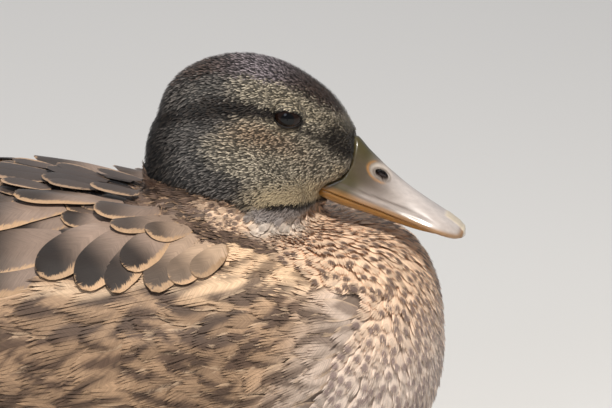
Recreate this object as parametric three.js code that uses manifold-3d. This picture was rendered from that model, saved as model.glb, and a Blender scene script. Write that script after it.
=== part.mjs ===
// A resting mallard duck in brown plumage, at life size: head drawn in, belly on the ground.
//
// Millimetres, +Z up. The duck faces +X, its right side is toward -Y, and it rests on z = 0.
// The body is modelled whole, as lofts of rounded sections, and parted by thin cuts:
// each piece is cut by its neighbours grown by GAP, so that they meet without touching.

import * as THREE from 'three';
import { mergeVertices } from 'three/addons/utils/BufferGeometryUtils.js';
import Module from 'manifold-3d';

const wasm = await Module();
wasm.setup();

// ---- driving dimensions -------------------------------------------------------------------

const GAP = 0.3;              // clearance between neighbouring pieces
const LENGTH = 400;           // bill tip to tail tip
const FRONT = LENGTH / 2;     // x of the bill tip
const REAR = -LENGTH / 2;     // x of the tail tip

const BREAST_X = 193;       // foremost point of the breast
const WIDEST_Z = 55;          // height at which the body is widest
const RUMP_X = -152;          // rear end of the body under the tail

const GAPE = { x: 147.5, z: 113 };   // corner of the mouth
const BILL_LENGTH = 56;              // gape to bill tip
const BILL_PITCH = THREE.MathUtils.degToRad(20.3);   // how far the closed bill points down

const EYE = { x: 136.2, y: 12.6, z: 140.3, radius: 5.6 };

const TAIL_ROOT = { x: -118, z: 66 };   // where the tail feathers fan out
const TAIL_FEATHERS = 9;
const TAIL_CUT = -136;        // plane that parts the tail, with the rump end, from the trunk
const TAIL_SPREAD = THREE.MathUtils.degToRad(34);
const TAIL_FEATHER = { width: 17, thickness: 1 };

const WING_STEP = 1.2;        // how far the folded wing stands proud of the body
const WINGTIP_FEATHERS = 3;
const WINGTIP_FEATHER = { length: 92, width: 14, thickness: 1 };

const TOE = { length: 50, radius: 3.2, spread: THREE.MathUtils.degToRad(25) };
const WEB_THICKNESS = 1.6;
const WEB_REACH = 0.93;       // share of a toe's length to which the web reaches
const WEB_HOLLOW = 0.05;      // how far the web's edge is drawn in between two toes
const ANKLE = { x: 38, y: 56, z: 4.2 };   // joint of the tarsus and the toes
const HEEL = { x: -8, y: 50, z: 8.5 };    // joint of the tarsus and the feathered shank

// ---- lofts --------------------------------------------------------------------------------

// Catmull-Rom value of one field of the section list, at t from 0 to 1.
function along(sections, field, t) {
  const last = sections.length - 1;
  const place = t * last;
  const i = Math.min(Math.floor(place), last - 1);
  const f = place - i;
  const value = (k) => sections[THREE.MathUtils.clamp(k, 0, last)][field] ?? 0;
  const [a, b, c, d] = [value(i - 1), value(i), value(i + 1), value(i + 2)];
  const slope0 = (c - a) / 2;
  const slope1 = (d - b) / 2;
  const f2 = f * f;
  const f3 = f2 * f;
  return (2 * f3 - 3 * f2 + 1) * b + (f3 - 2 * f2 + f) * slope0
    + (3 * f2 - 2 * f3) * c + (f3 - f2) * slope1;
}

const power = (value, exponent) => Math.sign(value) * Math.abs(value) ** exponent;

// A closed skin over superellipse sections that stand across X. A section is given by its
// centre (x, y, z), its half width, its height above and below the centre, and its pitch
// (about Y) and roll (about X). The first and last sections are single points.
function loft(sections, { steps, sides, squareness = 2, grow = 0 }) {
  const points = [];
  const centre = (t) => new THREE.Vector3(...['x', 'y', 'z'].map((f) => along(sections, f, t)));
  const start = centre(0);
  const end = centre(1);
  const axis = end.clone().sub(start).normalize().multiplyScalar(grow);
  points.push(start.sub(axis));
  for (let i = 1; i < steps; i += 1) {
    const t = i / steps;
    const [wide, up, down, pitch, roll] = ['wide', 'up', 'down', 'pitch', 'roll']
      .map((f) => along(sections, f, t));
    const turn = new THREE.Matrix4().makeRotationFromEuler(new THREE.Euler(roll, pitch, 0, 'YXZ'));
    for (let j = 0; j < sides; j += 1) {
      const angle = (2 * Math.PI * j) / sides;
      const across = power(Math.cos(angle), 2 / squareness);
      const upward = power(Math.sin(angle), 2 / squareness);
      const height = Math.max(upward > 0 ? up : down, 0.3) + grow;
      const point = new THREE.Vector3(0, (Math.max(wide, 0.3) + grow) * across, height * upward);
      points.push(point.applyMatrix4(turn).add(centre(t)));
    }
  }
  points.push(end.add(axis));

  const index = [];
  const ring = (i, j) => 1 + (i - 1) * sides + (j % sides);
  const tip = points.length - 1;
  for (let j = 0; j < sides; j += 1) {
    index.push(0, ring(1, j + 1), ring(1, j));
    index.push(tip, ring(steps - 1, j), ring(steps - 1, j + 1));
    for (let i = 1; i < steps - 1; i += 1) {
      index.push(ring(i, j), ring(i, j + 1), ring(i + 1, j + 1));
      index.push(ring(i, j), ring(i + 1, j + 1), ring(i + 1, j));
    }
  }
  const geometry = new THREE.BufferGeometry().setFromPoints(points);
  geometry.setIndex(index);
  return solid(geometry);
}

// ---- solids -------------------------------------------------------------------------------

// The manifold solid of a closed three.js geometry, turned right side out.
function solid(geometry) {
  geometry.deleteAttribute('normal');
  geometry.deleteAttribute('uv');
  const merged = mergeVertices(geometry, 1e-4);
  const make = (triangles) => new wasm.Manifold(new wasm.Mesh({
    numProp: 3,
    vertProperties: new Float32Array(merged.attributes.position.array),
    triVerts: new Uint32Array(triangles),
  }));
  const triangles = Array.from(merged.index.array);
  const made = make(triangles);
  return made.volume() > 0 ? made : make(triangles.reverse());
}

const join = (pieces) => pieces.reduce((whole, piece) => whole.add(piece));
const cut = (piece, ...cutters) => cutters.reduce((rest, cutter) => rest.subtract(cutter), piece);
const mirrored = (piece) => piece.mirror([0, 1, 0]);
const aboveFloor = (piece) => piece.trimByPlane([0, 0, 1], 0);

// The largest part of a solid, without crumbs that a cut has left.
function largest(piece) {
  return piece.decompose().reduce((best, part) => (part.volume() > best.volume() ? part : best));
}

function ball(radius, x, y, z) {
  return solid(new THREE.SphereGeometry(radius, 12, 8).rotateX(Math.PI / 2).translate(x, y, z));
}

// A prism across the whole duck with this outline in the X-Z plane.
function slab(outline, halfWidth) {
  const shape = new THREE.Shape(outline.map(([x, z]) => new THREE.Vector2(x, z)));
  const prism = new THREE.ExtrudeGeometry(shape, { depth: 2 * halfWidth, bevelEnabled: false });
  return solid(prism.rotateX(Math.PI / 2).translate(0, halfWidth, 0));
}

// One flat flight feather along -X from its root at the origin, with a round tip.
function feather({ length, width, thickness }) {
  const half = width / 2;
  const shape = new THREE.Shape();
  shape.moveTo(0, -half * 0.35);
  shape.quadraticCurveTo(-length * 0.3, -half, -length * 0.75, -half);
  shape.quadraticCurveTo(-length * 0.97, -half * 0.9, -length, 0);
  shape.quadraticCurveTo(-length * 0.97, half * 0.9, -length * 0.75, half);
  shape.quadraticCurveTo(-length * 0.3, half, 0, half * 0.35);
  const options = { depth: thickness, bevelEnabled: false, curveSegments: 2 };
  return new THREE.ExtrudeGeometry(shape, options).translate(0, 0, -thickness / 2);
}

// ---- trunk --------------------------------------------------------------------------------

// Body sections from the rump to the breast: the top and bottom outlines and the half widths.
const trunkOutline = [
  { x: RUMP_X, top: 66, bottom: 66, wide: 0, widest: 66 },
  { x: -144, top: 76, bottom: 55, wide: 16, widest: 66 },
  { x: -128, top: 84, bottom: 40, wide: 30, widest: 64 },
  { x: -103, top: 93.5, bottom: 20, wide: 46, widest: 60 },
  { x: -75, top: 102, bottom: 6, wide: 60, widest: 57 },
  { x: -38, top: 111, bottom: -2, wide: 72, widest: 56 },
  { x: 0, top: 114.5, bottom: -3, wide: 78, widest: WIDEST_Z },
  { x: 40, top: 114.5, bottom: -3, wide: 80.5, widest: WIDEST_Z },
  { x: 80, top: 109.8, bottom: -3, wide: 80.5, widest: WIDEST_Z },
  { x: 110, top: 107, bottom: -3, wide: 78, widest: WIDEST_Z },
  { x: 136, top: 104.8, bottom: -2, wide: 73, widest: WIDEST_Z },
  { x: 158, top: 101.2, bottom: 3, wide: 65, widest: 54 },
  { x: 172.5, top: 96.5, bottom: 10, wide: 56, widest: 53 },
  { x: 182, top: 89.5, bottom: 18, wide: 45.5, widest: 52 },
  { x: 188.6, top: 78.5, bottom: 28, wide: 33, widest: 51 },
  { x: 192, top: 66, bottom: 38, wide: 19, widest: 50 },
  { x: BREAST_X, top: 50, bottom: 50, wide: 0, widest: 50 },
];

function trunkSections() {
  return trunkOutline.map(({ x, top, bottom, wide, widest }) => (
    { x, z: widest, wide, up: top - widest, down: widest - bottom }));
}

function trunk(grow = 0) {
  return loft(trunkSections(), { steps: 24, sides: 24, squareness: 2.25, grow });
}

// ---- head and neck ------------------------------------------------------------------------

const headOutline = [
  { x: 85.5, top: 133, bottom: 133, wide: 0, widest: 133 },
  { x: 87.5, top: 143.5, bottom: 122, wide: 9, widest: 133 },
  { x: 92.5, top: 151.7, bottom: 113, wide: 14, widest: 133 },
  { x: 101, top: 158, bottom: 108, wide: 17, widest: 133 },
  { x: 112, top: 161.2, bottom: 105, wide: 18.6, widest: 132.5 },
  { x: 123, top: 161.3, bottom: 103.5, wide: 19.2, widest: 131 },
  { x: 133.6, top: 158.4, bottom: 103, wide: 18.6, widest: 129 },
  { x: 142, top: 153.6, bottom: 103.5, wide: 16.8, widest: 127 },
  { x: 149, top: 148.6, bottom: 105, wide: 14.4, widest: 125.5 },
  { x: 154.3, top: 143, bottom: 107, wide: 12.4, widest: 124 },
  { x: 158.5, top: 135.5, bottom: 110, wide: 10.8, widest: 122 },
  { x: 162, top: 128, bottom: 114, wide: 8.6, widest: 121 },
  { x: 164, top: 120, bottom: 120, wide: 0, widest: 120 },
];

function head(grow = 0) {
  const sections = headOutline.map(({ x, top, bottom, wide, widest }) => (
    { x, z: widest, wide, up: top - widest, down: widest - bottom }));
  return loft(sections, { steps: 18, sides: 20, squareness: 2.1, grow });
}

// The drawn-in neck: a full round collar between the shoulders, under the head.
const neckOutline = [
  { x: 81.3, top: 119, bottom: 119, wide: 0 },
  { x: 82.4, top: 129, bottom: 108, wide: 11 },
  { x: 86.5, top: 138, bottom: 99, wide: 18.5 },
  { x: 96, top: 143, bottom: 91, wide: 25 },
  { x: 110, top: 144, bottom: 86, wide: 29 },
  { x: 124, top: 138, bottom: 86, wide: 29.5 },
  { x: 136, top: 128, bottom: 90, wide: 26 },
  { x: 144, top: 118, bottom: 97, wide: 18 },
  { x: 147, top: 107, bottom: 107, wide: 0 },
];

function neck(grow = 0) {
  const sections = neckOutline.map(({ x, top, bottom, wide }) => {
    const z = Math.min(112, (top + bottom) / 2);
    return { x, z, wide, up: top - z, down: z - bottom };
  });
  return loft(sections, { steps: 11, sides: 20, squareness: 2, grow });
}

// ---- bill ---------------------------------------------------------------------------------

// A point of the bill at this distance from the gape, along the closed mouth.
function billPoint(distance) {
  const x = GAPE.x + distance * Math.cos(BILL_PITCH);
  const z = GAPE.z - distance * Math.sin(BILL_PITCH);
  return { x, y: 0, z, pitch: BILL_PITCH };
}

// Upper bill: high and narrow at the base, low and broad toward the round tip.
const upperBill = [
  { distance: -6, wide: 0, up: 0 },
  { distance: -3, wide: 7, up: 17 },
  { distance: 6, wide: 10, up: 20.6 },
  { distance: 12, wide: 9.8, up: 17.6 },
  { distance: 20, wide: 9.3, up: 13.8 },
  { distance: 29, wide: 9.3, up: 10.4 },
  { distance: 38, wide: 10.2, up: 7.8 },
  { distance: 45, wide: 10.9, up: 5.9 },
  { distance: 50, wide: 10, up: 4.5 },
  { distance: 53.6, wide: 7.6, up: 3.2 },
  { distance: 55.5, wide: 4.4, up: 2 },
  { distance: BILL_LENGTH, wide: 0, up: 0 },
];

const lowerBill = [
  { distance: -4, wide: 0, down: 0 },
  { distance: -2, wide: 6, down: 3 },
  { distance: 6, wide: 8.8, down: 4.2 },
  { distance: 18, wide: 8.6, down: 3.8 },
  { distance: 32, wide: 8.6, down: 3 },
  { distance: 44, wide: 8.4, down: 1.8 },
  { distance: 49, wide: 4, down: 0.9 },
  { distance: 51, wide: 0, down: 0 },
];

// Where the feathers of the face end and the bill begins, seen from the side.
const featherEdge = [
  [159.8, 134], [159.4, 121.6], [156.2, 116.8], [GAPE.x, 113.2], [GAPE.x - 0.5, 109.4],
  [154, 104], [170, 96], [210, 80], [210, 134],
];

function nostrils(bill) {
  const hole = new THREE.SphereGeometry(1, 10, 6).scale(3.3, 3.2, 1.7).rotateY(0.45);
  hole.translate(169.5, 0, 117.7);
  const left = solid(hole.clone().translate(0, 7.2, 0));
  const right = solid(hole.translate(0, -7.2, 0));
  return cut(bill, left, right);
}

function bill() {
  const base = slab(featherEdge, 20).translate([GAP, 0, -GAP]);
  const upperSections = upperBill.map(({ distance, wide, up }) => (
    { ...billPoint(distance), wide, up, down: up ? 1.1 : 0 }));
  const lowerSections = lowerBill.map(({ distance, wide, down }) => (
    { ...billPoint(distance), wide, up: 0.6, down }));
  const upper = loft(upperSections, { steps: 17, sides: 18, squareness: 2.3 });
  const grown = loft(upperSections, { steps: 17, sides: 18, squareness: 2.3, grow: GAP });
  const lower = loft(lowerSections, { steps: 8, sides: 12, squareness: 2.4 });
  return {
    upper: largest(nostrils(upper.intersect(base))),
    lower: largest(cut(lower.intersect(base), grown)),
  };
}

// ---- wings --------------------------------------------------------------------------------

// The folded left wing with its shoulder feathers: the part of the back inside a long lens,
// standing proud of the body by WING_STEP.
const wingOutline = [
  { x: -134, y: 17, z: 80, wide: 0, thick: 0, roll: -30 },
  { x: -126, y: 19, z: 81, wide: 8, thick: 7, roll: -30 },
  { x: -108, y: 24, z: 84, wide: 15, thick: 9, roll: -30 },
  { x: -75, y: 34, z: 91, wide: 22, thick: 11, roll: -30 },
  { x: -35, y: 41, z: 98, wide: 26, thick: 13, roll: -30 },
  { x: 10, y: 45, z: 103, wide: 27.5, thick: 14, roll: -31 },
  { x: 60, y: 46, z: 103, wide: 26.5, thick: 14, roll: -32 },
  { x: 105, y: 46, z: 99, wide: 24, thick: 13, roll: -33 },
  { x: 130, y: 46, z: 94, wide: 20, thick: 12, roll: -34 },
  { x: 147, y: 45, z: 90.5, wide: 12, thick: 9, roll: -35 },
  { x: 153, y: 45, z: 89.5, wide: 0, thick: 0, roll: -35 },
];

function wingRoom(grow = 0) {
  const sections = wingOutline.map(({ x, y, z, wide, thick, roll }) => (
    { x, y, z, wide, up: thick, down: thick, roll: THREE.MathUtils.degToRad(roll) }));
  return loft(sections, { steps: 14, sides: 14, squareness: 2.2, grow });
}

const wing = () => wingRoom().intersect(trunk(WING_STEP));

// The flight feathers of the left wing, whose tips lie crossed over the rump.
function wingtip(grow = 0) {
  const feathers = [];
  for (let i = 0; i < WINGTIP_FEATHERS; i += 1) {
    const { length, width, thickness } = WINGTIP_FEATHER;
    const shape = feather({
      length: length - 9 * i + grow,
      width: width + 2 * grow,
      thickness: thickness + 2 * grow,
    });
    shape.rotateX(-0.3);
    shape.rotateY(-0.17);
    shape.rotateZ(0.12);
    feathers.push(solid(shape.translate(-68, 17 + 2.6 * i, 98.5 - 1.4 * i)));
  }
  return join(feathers);
}

// ---- tail ---------------------------------------------------------------------------------

// The tail fan with the coverts at its root and the rear end of the rump.
function tail() {
  const feathers = [];
  const longest = TAIL_ROOT.x - REAR;
  for (let i = 0; i < TAIL_FEATHERS; i += 1) {
    const side = (2 * i) / (TAIL_FEATHERS - 1) - 1;
    const shape = feather({
      ...TAIL_FEATHER,
      length: longest * (1 - 0.1 * side * side),
    });
    shape.rotateX(side * 0.5);
    shape.rotateZ((-side * TAIL_SPREAD) / 2);
    feathers.push(solid(shape.translate(TAIL_ROOT.x, side * 9, TAIL_ROOT.z - 4 * Math.abs(side))));
  }
  const coverts = loft([
    { x: -178, z: TAIL_ROOT.z - 1 },
    { x: -172, z: TAIL_ROOT.z - 1, wide: 15, up: 2.5, down: 3 },
    { x: -150, z: TAIL_ROOT.z - 1, wide: 24, up: 7, down: 9 },
    { x: -128, z: TAIL_ROOT.z - 1, wide: 20, up: 10, down: 14 },
    { x: -116, z: TAIL_ROOT.z - 1 },
  ], { steps: 7, sides: 12 });
  return join([...feathers, coverts, trunk()]).trimByPlane([-1, 0, 0], GAP - TAIL_CUT);
}

// ---- legs and feet ------------------------------------------------------------------------

// The left tarsus, lying forward along the ground from the heel to the toes.
function leg(grow = 0) {
  return loft([
    { ...HEEL, x: HEEL.x - 7 },
    { ...HEEL, x: HEEL.x - 3, wide: 4.6, up: 5, down: 5 },
    { ...HEEL, x: HEEL.x + 4, wide: 4.4, up: 4.4, down: 4.4 },
    { x: HEEL.x + 22, y: (HEEL.y + ANKLE.y) / 2, z: 6.5, wide: 3, up: 3.4, down: 3.4 },
    { ...ANKLE, x: ANKLE.x - 4, wide: 3.6, up: 3.6, down: 3.6 },
    { ...ANKLE },
  ], { steps: 7, sides: 8, grow });
}

// One toe with its claw, from the ankle outward on the ground.
function toe(angle, length, grow) {
  const at = (share) => ({
    x: ANKLE.x + share * length * Math.cos(angle),
    y: ANKLE.y + share * length * Math.sin(angle),
  });
  const radius = TOE.radius;
  return loft([
    { ...at(-0.06), z: 3 },
    { ...at(0.02), z: 3, wide: radius, up: radius, down: radius },
    { ...at(0.45), z: 2.2, wide: radius * 0.72, up: radius * 0.78, down: radius * 0.8 },
    { ...at(0.86), z: 2, wide: radius * 0.66, up: radius * 0.7, down: radius * 0.7 },
    { ...at(0.95), z: 1.6, wide: radius * 0.34, up: radius * 0.4, down: radius * 0.4 },
    { ...at(1.06), z: 0.8 },
  ], { steps: 6, sides: 6, grow });
}

function foot() {
  const toes = [-1, 0, 1].map((k) => (
    { angle: 0.06 + k * TOE.spread, length: TOE.length * (k === 0 ? 1 : 0.9) }));
  const tips = toes.map(({ angle, length }) => new THREE.Vector2(
    ANKLE.x + WEB_REACH * length * Math.cos(angle),
    ANKLE.y + WEB_REACH * length * Math.sin(angle),
  ));
  const web = new THREE.Shape();
  web.moveTo(ANKLE.x, ANKLE.y);
  web.lineTo(tips[0].x, tips[0].y);
  for (let k = 1; k < tips.length; k += 1) {
    const inward = tips[k - 1].clone().add(tips[k]).multiplyScalar(0.5);
    inward.lerp(new THREE.Vector2(ANKLE.x, ANKLE.y), WEB_HOLLOW);
    web.quadraticCurveTo(inward.x, inward.y, tips[k].x, tips[k].y);
  }
  web.closePath();
  const options = { depth: WEB_THICKNESS, bevelEnabled: false, curveSegments: 3 };
  const hindToe = toe(Math.PI * 0.72, 13, 0);
  const parts = toes.map(({ angle, length }) => toe(angle, length, 0));
  return join([...parts, hindToe, solid(new THREE.ExtrudeGeometry(web, options))]);
}

// The room that the foot takes under the flank.
function footRoom() {
  const room = new THREE.CylinderGeometry(31, 31, 14, 14).rotateX(Math.PI / 2);
  return solid(room.translate(ANKLE.x + 22, ANKLE.y + 6, 0));
}

// ---- the duck -----------------------------------------------------------------------------

const colours = {
  head: [0x6b5f52, 0.9],
  neck: [0x6f665a, 0.9],
  trunk: [0xa98467, 0.9],
  wing: [0x7d6656, 0.85],
  tail: [0xa58d74, 0.85],
  bill: [0x9a8a5c, 0.35],
  eye: [0x140f0d, 0.05],
  foot: [0xd2762a, 0.55],
};

const group = new THREE.Group();

function place(name, piece, look) {
  const mesh = piece.getMesh();
  const geometry = new THREE.BufferGeometry();
  geometry.setAttribute('position', new THREE.BufferAttribute(mesh.vertProperties, mesh.numProp));
  geometry.setIndex(new THREE.BufferAttribute(mesh.triVerts, 1));
  geometry.computeVertexNormals();
  const [color, roughness] = colours[look];
  const material = new THREE.MeshStandardMaterial({ color, roughness, metalness: 0 });
  const node = new THREE.Mesh(geometry, material);
  node.name = name;
  group.add(node);
}

const face = head();
const collar = neck();
const bills = bill();
const eyes = [1, -1].map((side) => ball(EYE.radius, EYE.x, side * EYE.y, EYE.z));
const eyeRooms = [1, -1].map((side) => ball(EYE.radius + GAP, EYE.x, side * EYE.y, EYE.z));
const tailFan = tail();
const wings = [wing(), mirrored(wing())];
const wingRooms = [wingRoom(GAP), mirrored(wingRoom(GAP))];
const wingtips = [wingtip(), mirrored(wingtip())];
const wingtipRooms = [wingtip(GAP), mirrored(wingtip(GAP))];
const legs = [leg(), mirrored(leg())];
const legRooms = [leg(GAP), mirrored(leg(GAP))];
const feet = [cut(foot(), leg(GAP)), mirrored(cut(foot(), leg(GAP)))];
const footRooms = [footRoom(), mirrored(footRoom())];

const body = cut(
  trunk().trimByPlane([1, 0, 0], TAIL_CUT),
  head(GAP),
  neck(GAP),
  ...wingRooms,
  ...wingtipRooms,
  ...legRooms,
  ...footRooms,
);
place('trunk', largest(aboveFloor(body)), 'trunk');
place('neck', largest(cut(collar, head(GAP))), 'neck');
place('head', largest(cut(face, slab(featherEdge, 40), ...eyeRooms)), 'head');
place('bill_upper', bills.upper, 'bill');
place('bill_lower', bills.lower, 'bill');
place('tail', largest(cut(tailFan, ...wingtipRooms)), 'tail');

['left', 'right'].forEach((side, i) => {
  place(`eye_${side}`, eyes[i], 'eye');
  place(`wing_${side}`, largest(cut(wings[i], neck(GAP), ...wingtipRooms)), 'wing');
  place(`wingtip_${side}`, largest(wingtips[i]), 'wing');
  place(`leg_${side}`, largest(aboveFloor(legs[i])), 'foot');
  place(`foot_${side}`, largest(aboveFloor(feet[i])), 'foot');
});

export default group;
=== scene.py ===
"""A resting mallard duck in brown plumage, at life size.

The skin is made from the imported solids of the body, and every feather is real mesh. Those of the
body are rooted on the skin and follow the lie of the plumage, and the same functions colour both.
Metres; the duck faces +X, its right side is toward -Y, and it rests on z = 0.
"""

import math

import bpy
import numpy as np
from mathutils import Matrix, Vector
from mathutils.bvhtree import BVHTree


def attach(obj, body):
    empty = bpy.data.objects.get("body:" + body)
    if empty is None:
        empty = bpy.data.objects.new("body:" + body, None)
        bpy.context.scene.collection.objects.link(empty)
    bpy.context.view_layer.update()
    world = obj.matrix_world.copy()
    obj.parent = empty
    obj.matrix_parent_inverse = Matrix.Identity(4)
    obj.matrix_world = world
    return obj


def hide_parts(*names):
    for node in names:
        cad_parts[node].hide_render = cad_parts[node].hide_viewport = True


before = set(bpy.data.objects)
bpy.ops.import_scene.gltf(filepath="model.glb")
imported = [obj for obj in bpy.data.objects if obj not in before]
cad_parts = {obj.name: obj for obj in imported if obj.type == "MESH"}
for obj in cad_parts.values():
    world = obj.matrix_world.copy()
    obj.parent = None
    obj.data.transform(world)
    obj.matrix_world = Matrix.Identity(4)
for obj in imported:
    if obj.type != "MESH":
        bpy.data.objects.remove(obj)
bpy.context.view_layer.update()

MM = 0.001
RANDOM = np.random.default_rng(7)

# ---- driving dimensions, in millimetres unless the name says otherwise ----

# camera: where it looks, from which side, and how wide its view is
AIM = (141.4, 0, 104)
CAMERA_AZIMUTH_DEG = 5
CAMERA_ELEVATION_DEG = 15
CAMERA_DISTANCE = 2000
CAMERA_LENS = 320

# bill, as in the solids: the gape, the length of the closed mouth line and its slope
GAPE = np.array([147.5, 0, 113])
BILL_LENGTH = 56
BILL_PITCH = math.radians(20.3)

# eye: centre of the ball, its radius, and half the width and height of the lids' opening
EYE = np.array([136.2, 12.6, 140.3])
EYE_RADIUS = 5.6
LID_WIDTH = 4.9
LID_HEIGHT = 3.15
LID_TILT = math.radians(-6)
LID_MOUND = 4.2             # how far the swelling round the eye reaches from the opening

FLESH = ["trunk", "neck", "head", "wing_left", "wing_right", "tail"]

# the fleshy root of the tail: centre and half sizes
TAIL_ROOT = np.array([-142, 0, 66])
TAIL_ROOT_SIZE = np.array([30, 22, 9.5])

PATCH = 0.003               # size of one feather on the map of the coat
ON_FLOOR = 0.15             # least height of any feather over the floor


# ---- small maths ----

def smooth(low, high, value):
    """0 below low, 1 above high, and an even step between."""
    t = np.clip((value - low) / (high - low), 0, 1)
    return t * t * (3 - 2 * t)


def fall(low, high, value):
    """1 below low, 0 above high, and an even step between."""
    return 1 - smooth(low, high, value)


def bump(centre, width, value):
    """1 at centre, falling to 0 at width on either side."""
    return fall(0, 1, np.abs(value - centre) / width)


def unit(vectors):
    return vectors / np.maximum(np.linalg.norm(vectors, axis=-1, keepdims=True), 1e-9)


def in_plane(vectors, normals):
    """Unit vectors in the planes that have these normals."""
    return unit(vectors - normals * np.sum(vectors * normals, axis=-1, keepdims=True))


def turned(a, b, tilt):
    """Distances a and b measured along axes turned by this angle."""
    return a * math.cos(tilt) + b * math.sin(tilt), b * math.cos(tilt) - a * math.sin(tilt)


def linear(*rgb255):
    """A colour given in display values from 0 to 255, as linear light."""
    c = np.array(rgb255) / 255
    return np.where(c <= 0.04045, c / 12.92, ((c + 0.055) / 1.055) ** 2.4)


def mix(a, b, share):
    """Colours a and b mixed row by row."""
    share = np.asarray(share)[..., None]
    return a * (1 - share) + b * share


def painted(colour, *layers):
    """The colour with layers of another colour and its share laid over it in turn."""
    for over, share in layers:
        colour = mix(colour, over, share)
    return colour


def stacked(*values):
    """These numbers and arrays side by side, in a new last axis."""
    return np.stack(np.broadcast_arrays(*values), axis=-1)


def tube(along, columns):
    """Two flat arrays: the places along a tube and the angles round it, ring after ring."""
    angle = np.linspace(0, 2 * math.pi, columns, endpoint=False)
    return [a.ravel() for a in np.meshgrid(along, angle, indexing="ij")]


# ---- meshes ----

def read(items, name, width=3, kind=float):
    """A value of each of these items, a row for each."""
    flat = np.empty(len(items) * width, dtype=kind)
    items.foreach_get(name, flat)
    return flat.reshape(-1, width)


def link(name, data):
    made = bpy.data.objects.new(name, data)
    bpy.context.collection.objects.link(made)
    return made


def mesh_object(name, points_mm, faces):
    """A smooth mesh object, from points in millimetres and the numbers of each face's points."""
    mesh = bpy.data.meshes.new(name)
    mesh.from_pydata((np.asarray(points_mm) * MM).tolist(), [], faces, shade_flat=False)
    return link(name, mesh)


def set_color(made, name, values):
    """A colour, or four numbers, for each vertex."""
    rgba = np.ones((len(values), 4))
    rgba[:, :values.shape[1]] = values
    layer = made.data.color_attributes.new(name, "FLOAT_COLOR", "POINT")
    layer.data.foreach_set("color", rgba.ravel())


def finish_piece(made, slot, material, *replaced):
    made.data.materials.append(material)
    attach(made, "root")
    if replaced:
        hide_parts(*replaced)
    return made


def tube_faces(rows, columns, side=1, closed=False):
    """Quads of a tube of points, turned over where side is -1, and its two ends if closed."""
    i, j = np.meshgrid(np.arange(rows - 1), np.arange(columns), indexing="ij")
    a = i * columns + j
    b = i * columns + (j + 1) % columns
    faces = stacked(a, b, b + columns, a + columns).reshape(-1, 4)[:, ::side].tolist()
    if closed:
        ring = list(range(columns))
        faces += [ring[::-1], [(rows - 1) * columns + k for k in ring]]
    return faces


def remeshed(name, nodes, voxel, swell, rounds, lump=None):
    """One closed mesh around copies of these solids and the lump's points and triangles, smoothed.
    swell closes the cuts between the solids."""
    solids = Surface(*(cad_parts[node] for node in nodes))
    points = solids.points + solids.normals * swell
    triangles = solids.triangles
    if lump:
        triangles = np.concatenate([triangles, lump[1] + len(points)])
        points = np.concatenate([points, lump[0]])
    rough = mesh_object(name + "_rough", points, triangles.tolist())
    remesh = rough.modifiers.new("remesh", "REMESH")
    remesh.mode = "VOXEL"
    remesh.voxel_size = voxel * MM
    relax = rough.modifiers.new("relax", "SMOOTH")
    relax.factor = 0.5
    relax.iterations = rounds
    graph = bpy.context.evaluated_depsgraph_get()
    mesh = bpy.data.meshes.new_from_object(rough.evaluated_get(graph))
    mesh.name = name
    mesh.shade_smooth()
    bpy.data.objects.remove(rough)
    return link(name, mesh)


class Surface:
    """Finds the nearest point and normal of one or more meshes, for many points at once."""

    def __init__(self, *pieces):
        points, normals, triangles, base = [], [], [], 0
        for made in pieces:
            mesh = made.data
            mesh.calc_loop_triangles()
            triangles.append(read(mesh.loop_triangles, "vertices", kind=np.int32) + base)
            points.append(read(mesh.vertices, "co") / MM)
            normals.append(read(mesh.vertices, "normal"))
            base += len(mesh.vertices)
        self.points, self.normals = np.concatenate(points), np.concatenate(normals)
        self.triangles = np.concatenate(triangles)
        self.tree = BVHTree.FromPolygons(self.points.tolist(), self.triangles.tolist())

    def snap(self, points):
        """Nearest surface points, and normals blended from the corners of their triangles."""
        hits = [self.tree.find_nearest(p) for p in points.tolist()]
        found = np.array([c for hit in hits for c in hit[0]]).reshape(-1, 3)
        corners = self.triangles[[hit[2] for hit in hits]]
        a, b, c = (self.points[corners[:, k]] for k in range(3))
        areas = [np.linalg.norm(np.cross(p - found, q - found), axis=1)
                 for p, q in ((b, c), (c, a), (a, b))]
        share = stacked(*areas) + 1e-9
        share /= share.sum(axis=1, keepdims=True)
        return found, unit(np.einsum("ij,ijk->ik", share, self.normals[corners]))

    def scatter(self, spacing, wanted):
        """Points at least `spacing` apart over the part of the surface where wanted(p, n) holds."""
        a, b, c = (self.points[self.triangles[:, k]] for k in range(3))
        cross = np.cross(b - a, c - a)
        area = np.linalg.norm(cross, axis=1) / 2
        use = np.flatnonzero(wanted((a + b + c) / 3, unit(cross)))
        total = area[use].sum()
        count = int(4 * total / spacing ** 2)
        pick = use[RANDOM.choice(len(use), size=count, p=area[use] / total)]
        r1 = np.sqrt(RANDOM.random(count))[:, None]
        r2 = RANDOM.random(count)[:, None]
        spots = a[pick] * (1 - r1) + b[pick] * r1 * (1 - r2) + c[pick] * r1 * r2
        cells = np.floor(spots / spacing).astype(int).tolist()
        near = [(i, j, k) for i in (-1, 0, 1) for j in (-1, 0, 1) for k in (-1, 0, 1)]
        chosen, last_in = [], {}
        for spot, (x, y, z) in zip(spots.tolist(), cells):
            others = (last_in.get((x + i, y + j, z + k)) for i, j, k in near)
            if all(other is None or math.dist(spot, other) >= spacing for other in others):
                last_in[x, y, z] = spot
                chosen.append(spot)
        return np.array(chosen)


# ---- parts of the plumage ----

def neck_line(x):
    """Height of the line round the neck where the plumage of the head ends."""
    return np.interp(x, [70, 76, 80, 86, 94, 104, 116, 127, 133, 140, 147, 165],
                     [118, 114, 112.5, 116, 116, 113.5, 111, 104, 103.5, 104.5, 106, 106])


def head_share(points):
    """1 on the head and neck, 0 on the body, with a short step where the plumages meet."""
    x, y, z = points.T
    return smooth(-1, 1, z - neck_line(x)) * fall(32, 35, np.abs(y))


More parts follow.
